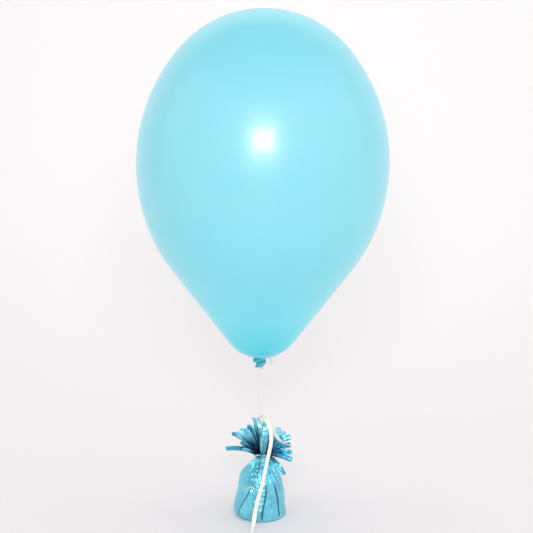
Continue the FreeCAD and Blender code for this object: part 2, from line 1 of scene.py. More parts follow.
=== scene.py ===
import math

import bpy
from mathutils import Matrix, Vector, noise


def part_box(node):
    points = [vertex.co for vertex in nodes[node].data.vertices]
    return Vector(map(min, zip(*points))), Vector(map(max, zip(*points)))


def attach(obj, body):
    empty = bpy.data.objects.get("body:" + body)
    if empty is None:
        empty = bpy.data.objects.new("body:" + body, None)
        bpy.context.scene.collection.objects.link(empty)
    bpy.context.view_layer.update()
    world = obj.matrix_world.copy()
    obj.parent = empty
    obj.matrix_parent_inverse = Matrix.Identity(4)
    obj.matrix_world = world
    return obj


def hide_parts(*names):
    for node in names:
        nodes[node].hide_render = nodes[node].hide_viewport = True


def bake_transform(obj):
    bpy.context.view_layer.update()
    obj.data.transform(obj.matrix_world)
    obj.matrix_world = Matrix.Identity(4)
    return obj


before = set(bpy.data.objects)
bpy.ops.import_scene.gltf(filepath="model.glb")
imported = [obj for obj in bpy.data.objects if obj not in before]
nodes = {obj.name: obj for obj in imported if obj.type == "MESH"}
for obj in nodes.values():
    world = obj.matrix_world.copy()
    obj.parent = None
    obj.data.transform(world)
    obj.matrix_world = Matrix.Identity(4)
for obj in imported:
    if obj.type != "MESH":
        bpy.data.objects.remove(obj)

# %% [markdown]
# # A latex balloon held by a foil weight
#
# The object is a pear-shaped latex balloon, tied off at its neck. Flat curling ribbon ties it to a weight
# wrapped in metallised film, whose gathered top is cut into a fringe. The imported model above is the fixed
# frame: it says where every piece is and which pieces move together. Everything below gives those pieces
# their looks. All lengths are in metres, so sizes are written as millimetres times MM.

MM = 0.001
UP = Vector((0, 0, 1))
RIGHT = Vector((1, 0, 0))
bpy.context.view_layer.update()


def top_of(name):
    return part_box(name)[1][2]


def foot_of(name):
    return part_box(name)[0][2]


def middle_of(name):
    low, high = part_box(name)
    return (Vector(low) + Vector(high)) / 2


# %% [markdown]
# ## Camera
#
# A small studio shot of a tall, light object is taken from a little above its middle, looking slightly down.
# A long lens keeps the balloon from looking stretched. The camera comes first because the free ribbon ends
# are laid out so that only their seen part is in its view.

# %% Camera
CAMERA_LENS = 72.9
CAMERA_PLACE = (0.0061, -1.2, 0.539)
CAMERA_DOWN = 11.37  # degrees below level

camera_data = bpy.data.cameras.new("camera")
camera_data.lens = CAMERA_LENS
camera_data.sensor_width = 36
camera = bpy.data.objects.new("camera", camera_data)
camera.location = CAMERA_PLACE
camera.rotation_euler = (math.radians(90 - CAMERA_DOWN), 0, 0)
bpy.context.scene.collection.objects.link(camera)
bpy.context.scene.camera = camera
bpy.context.scene.view_settings.view_transform = "Standard"
print("camera", CAMERA_PLACE, "looking down", CAMERA_DOWN)

# %% [markdown]
# ## Helpers for meshes
#
# Most pieces here are thin film: ribbon, foil strips and rubber. Each is a grid of points joined by quads,
# so one helper makes a mesh from rows of points, open or joined round, and the others build on it.

# %% Mesh helpers


def mesh_object(name, vertices, faces):
    mesh = bpy.data.meshes.new(name)
    mesh.from_pydata([tuple(vertex) for vertex in vertices], [], faces)
    mesh.update()
    mesh.polygons.foreach_set("use_smooth", [True] * len(mesh.polygons))
    made = bpy.data.objects.new(name, mesh)
    bpy.context.scene.collection.objects.link(made)
    return made


def joined_rows(rows, round_rows=True, caps=True, offset=0):
    """Faces between rows of equally many points; round rows close on themselves."""
    count = len(rows[0])
    faces = []
    for r in range(len(rows) - 1):
        for c in range(count if round_rows else count - 1):
            after = (c + 1) % count
            low, high = offset + r * count, offset + (r + 1) * count
            faces.append((low + c, low + after, high + after, high + c))
    if caps and round_rows:
        faces.append(tuple(offset + c for c in reversed(range(count))))
        faces.append(tuple(offset + (len(rows) - 1) * count + c for c in range(count)))
    return faces


def from_rows(name, groups, caps=True):
    """One object of several closed tubes, each given as rows of points."""
    vertices, faces = [], []
    for rows in groups:
        faces += joined_rows(rows, caps=caps, offset=len(vertices))
        vertices += [point for row in rows for point in row]
    return mesh_object(name, vertices, faces)


print("mesh helpers ready")

# %% [markdown]
# Ribbon, wire and strips of film all follow lines. A few given points are enough for each line, and
# a spline smooths them. The line then becomes a flat strip or a round tube. The last few helpers give points
# round an axis, smooth steps, and numbers that are kept on the mesh for its material.

# %% Line, strip and tube helpers


def smooth_line(points, steps=8):
    """The points along a NURBS spline that has the given control points."""
    curve = bpy.data.curves.new("line", "CURVE")
    curve.dimensions = "3D"
    spline = curve.splines.new("NURBS")
    spline.points.add(len(points) - 1)
    for target, point in zip(spline.points, points):
        target.co = (*point, 1)
    spline.order_u = 3
    spline.use_endpoint_u = True
    spline.resolution_u = steps
    holder = bpy.data.objects.new("line", curve)
    bpy.context.scene.collection.objects.link(holder)
    bpy.context.view_layer.update()
    mesh = bpy.data.meshes.new_from_object(holder)
    line = [vertex.co.copy() for vertex in mesh.vertices]
    bpy.data.objects.remove(holder)
    return line


def length_of(line):
    return sum((b - a).length for a, b in zip(line, line[1:]))


def shares_of(line):
    """How far along the line each point is, from 0 to 1."""
    total, run, shares = length_of(line), 0, [0.0]
    for a, b in zip(line, line[1:]):
        run += (b - a).length
        shares.append(run / total)
    return shares


def heading(line, i):
    return (line[min(i + 1, len(line) - 1)] - line[max(i - 1, 0)]).normalized()


def flat_rows(line, width, thickness, across, cup=0.0, columns=6):
    """Rows of a flat strip along a line. width(share) is its width there, across(share) the way it spreads,
    and cup how far its middle stands out."""
    rows = []
    for i, (point, share) in enumerate(zip(line, shares_of(line))):
        ahead = heading(line, i)
        side = across(share)
        side = (side - side.dot(ahead) * ahead).normalized()
        out = ahead.cross(side)
        wide = width(share) if callable(width) else width
        front, back = [], []
        for c in range(columns + 1):
            u = c / columns - 0.5
            stand = cup * (1 - 4 * u * u)
            spot = point + side * wide * u + out * stand
            front.append(spot + out * thickness / 2)
            back.append(spot - out * thickness / 2)
        rows.append(front + back[::-1])
    return rows


def tube_rows(line, radius, sides=12):
    """Rows of a round tube along a line; radius(share) is its radius there."""
    rows = []
    turn = heading(line, 0).orthogonal().normalized()
    for i, (point, share) in enumerate(zip(line, shares_of(line))):
        ahead = heading(line, i)
        turn = (turn - turn.dot(ahead) * ahead).normalized()
        other = ahead.cross(turn)
        r = radius(share) if callable(radius) else radius
        rows.append(
            [
                point + (turn * math.cos(a) + other * math.sin(a)) * r
                for a in (2 * math.pi * k / sides for k in range(sides))
            ]
        )
    return rows


def in_mm(points, about=Vector()):
    """Points given in millimetres about a place, as places in metres."""
    return [about + Vector(point) * MM for point in points]


def around(reach, angle, height=0.0):
    """A point at a reach from the upright axis."""
    return (reach * math.cos(angle), reach * math.sin(angle), height)


def winding(turns, points_a_turn):
    """Steps of a line that winds round: how far along it each is, from 0 to 1, and its angle."""
    count = int(turns * points_a_turn)
    return [(k / count, 2 * math.pi * k / points_a_turn) for k in range(count + 1)]


def eased(x, start, end):
    """0 before start, 1 after end, smooth between."""
    t = min(1, max(0, (x - start) / (end - start)))
    return t * t * (3 - 2 * t)


def point_values(piece, name, values):
    """Keeps one number for each point of a mesh, for its material to read."""
    kept = piece.data.attributes.new(name, "FLOAT", "POINT")
    kept.data.foreach_set("value", values)


print("line helpers ready")

# %% [markdown]
# ## Free ribbon ends
#
# Curling ribbon is a flat, springy film 5 mm wide. Its long end falls from the knot over the fringe, lies on
# the front of the weight, and runs out over the table. The spare length is wound into a neat flat coil on
# its edge. A curve with a bevel would give a round cord, so the flat strip is built along a NURBS line, and a
# second function says which way its width lies: across the front of the weight, then turning up on its edge.

# %% Long ribbon end
RIBBON_WIDTH = 5 * MM
RIBBON_FILM = 0.3 * MM
LONG_TAIL = [
    (4.0, -1.4, 117.6),
    (8.6, -5.0, 113.8),
    (12.0, -12.0, 104.0),
    (11.3, -17.5, 91.5),
    (8.2, -19.5, 78.0),
    (5.2, -22.0, 64.5),
    (2.6, -26.0, 51.5),
    (-1.2, -30.5, 38.4),
    (-4.9, -33.8, 25.0),
    (-7.8, -36.0, 11.0),
    (-9.2, -43.0, 1.3),
    (-10.8, -58.0, 1.2),
    (-10.4, -79.0, 2.6),
    (-10.3, -96.0, 2.75),
]
COIL_MIDDLE = (24, -101)
COIL_FIRST_RADIUS = 34.2
COIL_STEP = 2.1
COIL_TURNS = 6.5
COIL_HEIGHT = 2.75  # the middle of a ribbon that stands on its edge

coil = []
for share, angle in winding(COIL_TURNS, 16):
    x, y, z = around(COIL_FIRST_RADIUS - COIL_STEP * COIL_TURNS * share, math.pi + angle, COIL_HEIGHT)
    coil.append((COIL_MIDDLE[0] + x, COIL_MIDDLE[1] + y, z))

long_line = smooth_line(in_mm(LONG_TAIL + coil))
long_length = length_of(long_line)
tail_length = length_of(smooth_line(in_mm(LONG_TAIL)))
LAID_FLAT = 0.75 * tail_length / long_length  # share of the whole length where it starts to turn on edge
ON_EDGE = tail_length / long_length


def long_across(share):
    aside = math.radians(30) * (eased(share, 0, 0.02) - eased(share, 0.6 * LAID_FLAT, 0.85 * LAID_FLAT))
    level = RIGHT * math.cos(aside) + Vector((0, 1, 0)) * math.sin(aside)
    turn = math.radians(90) * eased(share, LAID_FLAT, ON_EDGE)
    return level * math.cos(turn) + UP * math.sin(turn)


long_ribbon = from_rows("ribbon_long_end", [flat_rows(long_line, RIBBON_WIDTH, RIBBON_FILM, long_across)])
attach(long_ribbon, "weight")
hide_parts("ribbon_tail_long", "ribbon_coil")
print("long ribbon end", round(long_length, 3), "m, of which before the coil", round(tail_length, 3))

# %% [markdown]
# The short end springs out to the right over the fringe. It is held only at the knot, and it twists as it
# leaves, so it is seen more and more on its edge.

# %% Short ribbon end
SHORT_TAIL = [
    (4.0, 1.4, 118.4),
    (9.6, -1.0, 112.0),
    (15.0, -7.5, 101.5),
    (21.5, -12.5, 94.0),
    (29.0, -16.5, 90.5),
    (37.8, -16.5, 89.2),
]
short_line = smooth_line(in_mm(SHORT_TAIL))


def short_across(share):
    turn = math.radians(28 + 22 * eased(share, 0.2, 0.9))
    return RIGHT * math.cos(turn) - Vector((0, 1, 0)) * math.sin(turn)


short_ribbon = from_rows("ribbon_short_end", [flat_rows(short_line, RIBBON_WIDTH, RIBBON_FILM, short_across)])
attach(short_ribbon, "weight")
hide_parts("ribbon_tail_short")
print("short ribbon end", round(length_of(short_line), 3), "m")

# %% [markdown]
# ## The taut ribbon
#
# The ribbon between the weight and the balloon is held taut by the balloon's lift. It bends where the balloon
# nods and twists where it turns, so it is one strip in two lengths. Each length blends between the two bodies
# of one joint, and they meet where both follow the same body. The second length runs up behind the knot in
# the latex and is drawn together where it goes under the turns round the neck.

# %% Taut ribbon
KNOT_TOP = top_of("loop_ribbon_knot") - 1.2 * MM
SPLIT = foot_of("tether_bend") + 5.5 * MM
TWIST = foot_of("neck_ribbon_drop")
NECK_TIE = 0.5 * (foot_of("neck_ribbon_turns") + top_of("neck_ribbon_turns"))
DROP_BACK = 5.5 * MM
TAUT_CUP = 0.25 * MM  # how far the middle of the strip stands out from its edges


def pulled_ribbon(name, line, width):
    """A length of the ribbon that is held taut."""
    made = from_rows(name, [flat_rows(line, width, RIBBON_FILM, lambda share: RIGHT, cup=TAUT_CUP)])
    # Taut lengths are marked for a painted shade that makes them a little greyer.
    point_values(made, "taut_painted_shade", [1.0] * len(made.data.vertices))
    return made


taut_line = smooth_line(
    [
        (0, 0, KNOT_TOP),
        (0.2 * MM, 0, KNOT_TOP + 16 * MM),
        (-0.2 * MM, 0, SPLIT - 14 * MM),
        (0, 0, SPLIT),
    ]
)
taut_ribbon = pulled_ribbon("ribbon_taut", taut_line, RIBBON_WIDTH)
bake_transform(taut_ribbon)
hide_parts("tether_ribbon", "tether_bend")

neck_line = smooth_line(
    [
        (0, 0, SPLIT),
        (0, 0, SPLIT + 5 * MM),
        (0, 0.2 * MM, TWIST + 1.5 * MM),
        (0, 3.2 * MM, TWIST + 5 * MM),
        (0, DROP_BACK, TWIST + 9 * MM),
        (0, DROP_BACK + 0.3 * MM, TWIST + 13 * MM),
        (0, DROP_BACK - 0.5 * MM, NECK_TIE),
    ]
)


def drawn_in(share):
    """Ribbon width, drawn together where it goes under the turns."""
    return RIBBON_WIDTH * (1 - 0.7 * eased(share, 0.72, 1))


neck_run = pulled_ribbon("ribbon_neck_run", neck_line, drawn_in)
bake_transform(neck_run)
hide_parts("neck_ribbon_drop")
print("taut ribbon", round(length_of(taut_line), 3), "m, neck run", round(length_of(neck_line), 3), "m")

# %% [markdown]
# ## Balloon
#
# An inflated latex balloon is a smooth pear: a tight crown, fuller sides, a straighter cone and a rounded
# end where the skin is gathered into the neck. The gather leaves fine folds that fade out a little way up.
# A cloth simulation would only bring the same rounded form back, so the outline is turned about the upright
# axis from four tangent arcs, and the folds are added as a ripple that dies away with distance from the neck.

# %% Balloon outline
CROWN_RADIUS = 124 * MM
NOSE_RADIUS = 46.7 * MM
FLANK = math.radians(37)
CROWN_RISE = 46 * MM  # centre of the crown arc above the widest level
skin_low, skin_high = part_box("balloon_skin")
GIRTH = (skin_high[0] - skin_low[0]) / 2
CROWN = skin_high[2]
BOTTOM = skin_low[2]
WIDEST = CROWN - CROWN_RISE - CROWN_RADIUS
SIDE_RADIUS = (CROWN_RADIUS**2 - GIRTH**2 - CROWN_RISE**2) / (2 * (CROWN_RADIUS - GIRTH))
SIDE_BACK = SIDE_RADIUS - GIRTH
TURN_UP = math.asin(CROWN_RISE / (SIDE_RADIUS - CROWN_RADIUS))
NECK_RADIUS = 4.3 * MM
NECK_FOOT = foot_of("latex_neck") - 1.0 * MM
MERGE_RADIUS = 10.5 * MM  # where the round end starts to sweep into the neck
LEAN = 0.0095  # no real balloon hangs dead straight above its neck
FULLNESS = 0.992  # the skin is drawn this much inside the frame's at its widest


def arc(centre, radius, first, last, count):
    """Points along an arc from its first angle up to, but without, its last."""
    angles = [first + (last - first) * k / count for k in range(count)]
    return [(centre[0] + radius * math.cos(a), centre[1] + radius * math.sin(a)) for a in angles]


outline = arc((0, WIDEST + CROWN_RISE), CROWN_RADIUS, math.radians(89.7), TURN_UP, 44)
outline += arc((-SIDE_BACK, WIDEST), SIDE_RADIUS, TURN_UP, -FLANK, 60)
flank_top = (SIDE_RADIUS * math.cos(FLANK) - SIDE_BACK, WIDEST - SIDE_RADIUS * math.sin(FLANK))
flank_foot = (NOSE_RADIUS * math.cos(FLANK), BOTTOM + NOSE_RADIUS * (1 - math.sin(FLANK)))
for k in range(12):
    outline.append(tuple(a + (b - a) * k / 12 for a, b in zip(flank_top, flank_foot)))
merge_angle = -math.acos(MERGE_RADIUS / NOSE_RADIUS)
outline += arc((0, BOTTOM + NOSE_RADIUS), NOSE_RADIUS, -FLANK, merge_angle, 22)
merge_point = (MERGE_RADIUS, BOTTOM + NOSE_RADIUS * (1 - math.sin(-merge_angle)))
sweep = smooth_line(
    [
        (merge_point[0], 0, merge_point[1]),
        (NECK_RADIUS + 2.4 * MM, 0, BOTTOM + 0.4 * MM),
        (NECK_RADIUS + 0.9 * MM, 0, BOTTOM + 0.1 * MM),
        (NECK_RADIUS + 1.5 * MM, 0, BOTTOM - 0.7 * MM),
        (NECK_RADIUS + 1.1 * MM, 0, BOTTOM - 1.5 * MM),
        (NECK_RADIUS - 0.4 * MM, 0, BOTTOM - 1.8 * MM),
        (NECK_RADIUS - 0.4 * MM, 0, NECK_FOOT),
    ],
    steps=6,
)
outline += [(point.x, point.z) for point in sweep]
print("balloon", round(2 * GIRTH, 3), "m wide, crown at", round(CROWN, 3), "outline points", len(outline))

# %% Balloon skin
SKIN_AROUND = 256
FOLDS = 11
FOLD_HEIGHT = 0.42 * MM
FOLD_FADE = 6.5 * MM
FOLDS_END = 45 * MM


def fold_ripple(radius, angle):
    """How far the gathered folds stand out of the skin near the neck."""
    fade = math.exp(-(radius - NECK_RADIUS) / FOLD_FADE) if radius < FOLDS_END else 0
    wander = 1.3 * noise.noise(Vector(around(2.1, angle, radius * 90)))
    return FOLD_HEIGHT * fade * math.sin(FOLDS * angle + 2.2 * wander)


balloon_rows = []
for radius, height in outline:
    row = []
    for c in range(SKIN_AROUND):
        angle = 2 * math.pi * c / SKIN_AROUND
        out = fold_ripple(radius, angle) if height < WIDEST else 0
        reach = radius + out * (1 if radius < MERGE_RADIUS else 0.6)
        reach *= 1 + (FULLNESS - 1) * eased(height, BOTTOM, WIDEST)
        x, y, z = around(reach, angle, height - 0.5 * out)
        row.append(Vector((x + LEAN * max(0, height - BOTTOM), y, z)))
    balloon_rows.append(row)
balloon = from_rows("balloon_body", [balloon_rows[::-1]])
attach(balloon, "balloon")
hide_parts("balloon_skin", "latex_neck")
print("balloon skin faces", len(balloon.data.polygons))

# %% [markdown]
# ## Knot in the neck
#
# The neck is tied in an overhand knot. Its collar goes once round, its end comes out low on one side, and
# the moulded mouth bead rolls up at the end. A tube along a knotted line shows the crossing folds, and the
# tube's radius swells and shrinks as pulled rubber does.

# %% Overhand knot
KNOT_PLACE = Vector((-1.8, 0, 185.4)) * MM
KNOT_PATH = [
    (3.4, 0.2, 6.2),
    (4.2, -1.8, 4.3),
    (0.8, -3.5, 3.3),
    (-4.0, -3.0, 1.7),
    (-6.2, 0.4, 1.6),
    (-4.4, 2.8, 2.4),
    (0.4, 3.3, 3.0),
    (5.0, 1.9, 1.8),
    (5.6, -1.4, -0.2),
    (3.0, -3.2, -1.6),
    (0.2, -1.6, -2.6),
    (-2.6, 0.8, -2.4),
    (-3.4, -0.6, -4.2),
    (-3.3, -1.4, -5.3),
]
knot_line = smooth_line(in_mm(KNOT_PATH, KNOT_PLACE), steps=10)


def rubber_radius(share):
    """Pulled rubber swells and shrinks along its length, and thins towards its end."""
    swell = 0.25 * math.sin(share * 17) + 0.12 * math.sin(share * 41)
    return (2.25 + swell - 0.75 * eased(share, 0.82, 1)) * MM


knot = from_rows("latex_overhand_knot", [tube_rows(knot_line, rubber_radius, sides=20)])
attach(knot, "balloon")
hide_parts("latex_knot")

LIP_PLACE = middle_of("latex_lip")
LIP_RADIUS = 1.8 * MM
BEAD = 0.62 * MM
mouth = []
for _, angle in winding(1, 48):
    wave = 0.35 * MM * math.sin(2 * angle + 0.6)
    x, y, z = around(LIP_RADIUS * (1 + 0.12 * math.cos(3 * angle)), angle, wave)
    mouth.append(LIP_PLACE + Vector((x, y * 0.8, z)))
lip = from_rows("latex_mouth_bead", [tube_rows(mouth, BEAD, sides=10)], caps=False)
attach(lip, "balloon")
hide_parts("latex_lip")
print("knot line", round(length_of(knot_line), 3), "m")

# %% [markdown]
# ## Ribbon tied round the neck
#
# Pulled tight, the ribbon draws together into a thin cord that sinks in between the round end of the balloon
# and the knot. Two turns end in a small knot at the right, from which a short cut end hangs. The turns are
# one spiral tube; the knot is a tiny overhand knot in the same drawn-in ribbon.

# %% Ribbon turns, knot and cut end at the neck
TURN_REACH = NECK_RADIUS + 0.2 * MM
turns_low, turns_high = foot_of("neck_ribbon_turns"), top_of("neck_ribbon_turns")
turn_points = []
for share, angle in winding(2, 14):
    height = turns_low - 0.6 * MM + (turns_high - turns_low - 0.7 * MM) * share
    turn_points.append(around(TURN_REACH, angle, height))
turns_line = smooth_line(turn_points, steps=4)
turns = from_rows(
    "ribbon_neck_turns",
    [flat_rows(turns_line, 0.9 * MM, 0.5 * MM, lambda share: UP, cup=0.12 * MM, columns=4)],
)
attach(turns, "balloon")
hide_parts("neck_ribbon_turns")


def knotted(place, size):
    """A small closed overhand knot about a place."""
    points = []
    for _, t in winding(1, 36):
        x = (math.sin(t) + 2 * math.sin(2 * t)) / 3
        y = -math.sin(3 * t) * 0.8
        z = (math.cos(t) - 2 * math.cos(2 * t)) / 3
        points.append(place + Vector((x, y, z)) * size)
    return points


TIE_PLACE = middle_of("neck_ribbon_knot")
tie_line = knotted(TIE_PLACE, 1.45 * MM)
tie = from_rows("ribbon_neck_knot", [tube_rows(tie_line, 0.55 * MM, sides=10)], caps=False)
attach(tie, "balloon")
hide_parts("neck_ribbon_knot")

END_PATH = [(0.6, 0, 0.4), (3.4, -0.5, -0.4), (5.2, -0.8, -3.6), (4.6, -0.9, -8.2)]
end_line = smooth_line(in_mm(END_PATH, TIE_PLACE))


def opening(share):
    """Ribbon width, opening out from the knot."""
    return RIBBON_WIDTH * (0.3 + 0.55 * eased(share, 0, 0.7))


cut_end = from_rows(
    "ribbon_neck_end",
    [flat_rows(end_line, opening, RIBBON_FILM, lambda share: Vector((0.55, -0.83, 0)), cup=0.3 * MM)],
)
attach(cut_end, "balloon")
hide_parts("neck_ribbon_end")
print("neck turns", round(length_of(turns_line), 3), "m")

# %% [markdown]
# ## Wire loop and the ribbon knot on it
#
# The weight has a wire loop that stands up through the fringe: one wire folded in two, twisted on itself and
# opened to an eye at the top. The ribbon goes through the eye and is knotted just above it. Each is a tube or
# strip along a line worked out from the turn of the twist.

# %% Wire loop
WIRE_RADIUS = 0.42 * MM
LOOP_TOP = top_of("hang_loop") - 0.5 * MM
LOOP_FOOT = foot_of("hang_loop") - 4 * MM
EYE_RADIUS = 2.6 * MM
EYE_MIDDLE = LOOP_TOP - EYE_RADIUS
TWISTS = 6
TWIST_REACH = 0.46 * MM
twist_top = EYE_MIDDLE - EYE_RADIUS - 1.2 * MM
strand = []
for share, angle in winding(TWISTS, 10):
    strand.append(around(TWIST_REACH, angle, LOOP_FOOT + (twist_top - LOOP_FOOT) * share))
eye = []
for share, _ in winding(1, 16):
    angle = math.radians(-70 + 320 * share)
    eye.append((EYE_RADIUS * math.cos(angle), 0, EYE_MIDDLE + EYE_RADIUS * math.sin(angle)))
wire_line = smooth_line(strand + eye + [(-x, -y, z) for x, y, z in reversed(strand)], steps=5)
wire = from_rows("wire_loop", [tube_rows(wire_line, WIRE_RADIUS, sides=10)])
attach(wire, "weight")
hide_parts("hang_loop")

HITCH = Vector((0, 0, top_of("loop_ribbon_knot") - 2.3 * MM))
HITCH_RADIUS = 1.5 * MM  # of the ribbon where it goes through the eye
hitch_line = knotted(HITCH, 1.9 * MM)
eye_loop = []
for _, angle in winding(1, 24):
    x, y, _ = around(HITCH_RADIUS, angle - math.pi / 2)
    eye_loop.append(Vector((0, x, LOOP_TOP + 0.3 * MM + y)))
knotted_rows = flat_rows(
    hitch_line, 1.7 * MM, 0.5 * MM, lambda share: Vector((0.5, 0.8, 0.3)), cup=0.2 * MM, columns=4
)
looped_rows = flat_rows(eye_loop, 2.0 * MM, RIBBON_FILM, lambda share: RIGHT, columns=4)
hitch = from_rows("ribbon_hitch", [knotted_rows, looped_rows])
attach(hitch, "ribbon_knot")
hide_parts("loop_ribbon_knot")
print("wire", round(length_of(wire_line), 3), "m")

# %% [markdown]
# ## Foil wrap
#
# A square of metallised film is drawn up round the ballast cup and gathered at the top. The spare width falls
# into pleats: flat panels that overlap at sharp creases, few and shallow at the foot, many and deep at the
# neck. The wrap is a grid of angle and height. Each crease has its own place and slant, and across each panel
# the film rises a little and drops at the crease, where a painted shade gives the dark line of an overlap.

# %% Outline and creases of the wrap
SIDE_HEIGHTS = [  # height and radius in mm
    (0.0, 27.6),
    (0.6, 29.2),
    (2.5, 30.3),
    (5.5, 30.9),
    (9.0, 31.0),
    (14.0, 30.5),
    (20.0, 29.6),
    (27.0, 28.2),
    (34.0, 26.6),
    (40.0, 25.0),
    (45.0, 23.9),
    (49.0, 22.0),
    (53.0, 19.6),
    (56.5, 16.8),
    (59.5, 13.8),
    (62.0, 11.2),
    (64.5, 9.2),
    (67.0, 8.0),
    (69.0, 7.3),
    (71.0, 7.6),
    (73.5, 8.2),
]
# creases as (direction at the foot, direction at the shoulder, depth at the foot in mm)
CREASES = [
    (4, 8, 0.5),
    (31, 27, 0.7),
    (58, 62, 0.4),
    (84, 80, 0.8),
    (112, 118, 0.5),
    (139, 133, 0.7),
    (165, 170, 0.4),
    (183, 188, 0.6),
    (199, 210, 0.4),
    (216, 245, 1.8),
    (248, 262, 0.5),
    (275, 284, 1.8),
    (297, 296, 0.4),
    (319, 309, 1.6),
    (334, 329, 0.5),
    (349, 345, 0.6),
]
profile = smooth_line([(r * MM, 0, z * MM) for z, r in SIDE_HEIGHTS], steps=8)


def crease_rise(angle, height):
    """How far the film stands out at a direction, in mm, and how dark the painted shade along its crease is.
    """
    drawn = eased(height, 38, 66)
    lean = eased(height, 2, 50)
    places = sorted((a + (b - a) * lean, depth) for a, b, depth in CREASES)
    for k, (place, depth) in enumerate(places):
        after, next_depth = places[(k + 1) % len(places)]
        span = (after - place) % 360
        gone = (angle - place) % 360
        if gone < span:
            share = gone / span
            step = depth * (0.55 + 0.45 * lean) * (1 - drawn) + 2.0 * drawn
            belly = 4 * share * (1 - share)
            drop = min(1, gone / 1.6)
            behind = math.exp(-((gone / 2.0) ** 2)) * eased(depth, 0.3, 1.6)
            before = math.exp(-(((span - gone) / 2.3) ** 2)) * eased(next_depth, 0.3, 1.6)
            dark = max(behind, before) * (1 - 0.85 * eased(height, 34, 50)) * eased(height, 1, 7)
            return step * (drop * (1 - share) ** 1.5 + 0.55 * belly * drawn) - 0.35 * step, dark
    return 0.0, 0.0


def near(angle, middle, reach):
    """1 at a direction, falling to 0 away from it."""
    away = (angle - middle + 180) % 360 - 180
    return math.exp(-((away / reach) ** 2))


print("creases", len(CREASES))

# %% [markdown]
# Each point of the film stands out from that outline by the sum of several things. Panels and pleats are
# pressed in where the band holds them. Slow dents and fine crumples come from the way the film was handled,
# and the crumples are strongest in three patches. The bag is fuller at one shoulder and leans a little.

# %% Foil wrap
WRAP_AROUND = 540
PLEATS = 23
ROUGH_PATCHES = ((247, 18, 1.0), (60, 26, 0.8), (150, 20, 0.7))  # direction, reach and strength
BAND_MIDDLE = 0.5 * (foot_of("gather_tie") + top_of("gather_tie"))
LEANS_LEFT = 1.9 * MM  # the foot of the bag sits a little to the left under its neck
SLIMMER = 0.4 * MM

wrap_rows, crease_painted_shade, crumple_and_painted_glints = [], [], []
for point in profile:
    radius, height = point.x, point.z
    grown = eased(height, 2 * MM, 12 * MM)  # dents begin above the foot
    deep = eased(height, 50 * MM, 66 * MM)  # pleats deepen towards the neck
    shoulder = eased(height, 26 * MM, 48 * MM) * (1 - eased(height, 52 * MM, 64 * MM))
    squeeze_reach = 2.4 * MM if height < BAND_MIDDLE else 5.5 * MM
    squeezed = math.exp(-(((height - BAND_MIDDLE) / squeeze_reach) ** 2))
    foot_share = eased(height, 0, 5 * MM) * (1 - eased(height, 8 * MM, 36 * MM))
    for_sparkle = eased(height, 8 * MM, 20 * MM) * (0.25 + 0.75 * eased(height, 30 * MM, 44 * MM))
    for_sparkle *= 1 - 0.4 * eased(height, 58 * MM, 66 * MM)
    row = []
    for c in range(WRAP_AROUND):
        degrees = 360 * c / WRAP_AROUND
        angle = math.radians(degrees)
        way = Vector(around(1, angle))
        rise, dark = crease_rise(degrees, height / MM)
        crumple_and_glint_strength = for_sparkle * max(
            strength * near(degrees, middle, reach) for middle, reach, strength in ROUGH_PATCHES
        )
        out = rise * MM * eased(height, 0, 6 * MM) * (1 - 0.9 * squeezed)
        pleats = 0.75 * MM * deep * math.sin(PLEATS * angle + 3 * noise.noise(way * 3)) * (1 - 0.9 * squeezed)
        dents = 0.5 * MM * noise.noise(way * 4.2 + UP * height * 75) * grown
        crumple = (0.16 + 0.5 * crumple_and_glint_strength) * MM * noise.noise(way * 13 + UP * height * 260) * grown
        fuller = 2.3 * MM * shoulder * near(degrees, 185, 48)  # the left shoulder
        fuller -= 1.0 * MM * near(degrees, 350, 48) * (1 - deep)  # the right side
        reach = radius + out + pleats + dents + crumple + fuller * grown
        row.append(way * (reach - SLIMMER * foot_share) - RIGHT * LEANS_LEFT * foot_share + UP * height)
        # painted shade along the crease, kept for the material
        crease_painted_shade.append(dark)
        # The crumple strength also masks the painted glints and painted dark facets in the material.
        crumple_and_painted_glints.append(crumple_and_glint_strength)
    wrap_rows.append(row)
wrap = from_rows("foil_wrap_pleated", [wrap_rows])
point_values(wrap, "crease_painted_shade", crease_painted_shade)
point_values(wrap, "crumple_and_painted_glints", crumple_and_painted_glints)
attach(wrap, "weight")
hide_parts("foil_wrap", "foil_gather")
print("wrap faces", len(wrap.data.polygons))

# %% [markdown]
# The gathered neck is held by an elastic band wound three times round the pleats. Only glints of it show
# between the strips, so a plain smooth tube along a spiral is enough, with each turn lying against the last.
# The last turn has slipped up a little over the roots of the strips at the front left.

# %% Elastic band
BAND_TURNS = 3
BAND_REACH = 8.15 * MM
BAND_THICK = 0.5 * MM
SLIP = 5.6 * MM
band_low, band_high = foot_of("gather_tie"), top_of("gather_tie")
band_points = []
for share, angle in winding(BAND_TURNS, 16):
    slipped = near(math.degrees(angle), 245, 30) if share > 2 / 3 else 0.0
    height = band_low + BAND_THICK + (band_high - band_low - 2 * BAND_THICK) * share + SLIP * slipped
    band_points.append(around(BAND_REACH + 1.0 * MM * slipped, angle, height))
band_line = smooth_line(band_points, steps=4)
band = from_rows("elastic_band", [tube_rows(band_line, BAND_THICK, sides=8)])
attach(band, "weight")
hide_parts("gather_tie")
print("band", round(length_of(band_line), 3), "m")

# %% [markdown]
# ## Fringe
#
# Above the band the sheets of film are cut into strips 5 to 9 mm wide. Each strip leaves the neck folded and
# narrow, opens to its full width, and then bends over in its own way; many tips roll over, because film
# curls where the shears pulled it. Each strip is listed: its direction, its lean at the root and at
# the tip, its length, its width, how far it swings sideways and how strongly its tip curls.

# %% Fringe strips
FOIL_FILM = 0.12 * MM
FRINGE_FOOT = 73 * MM

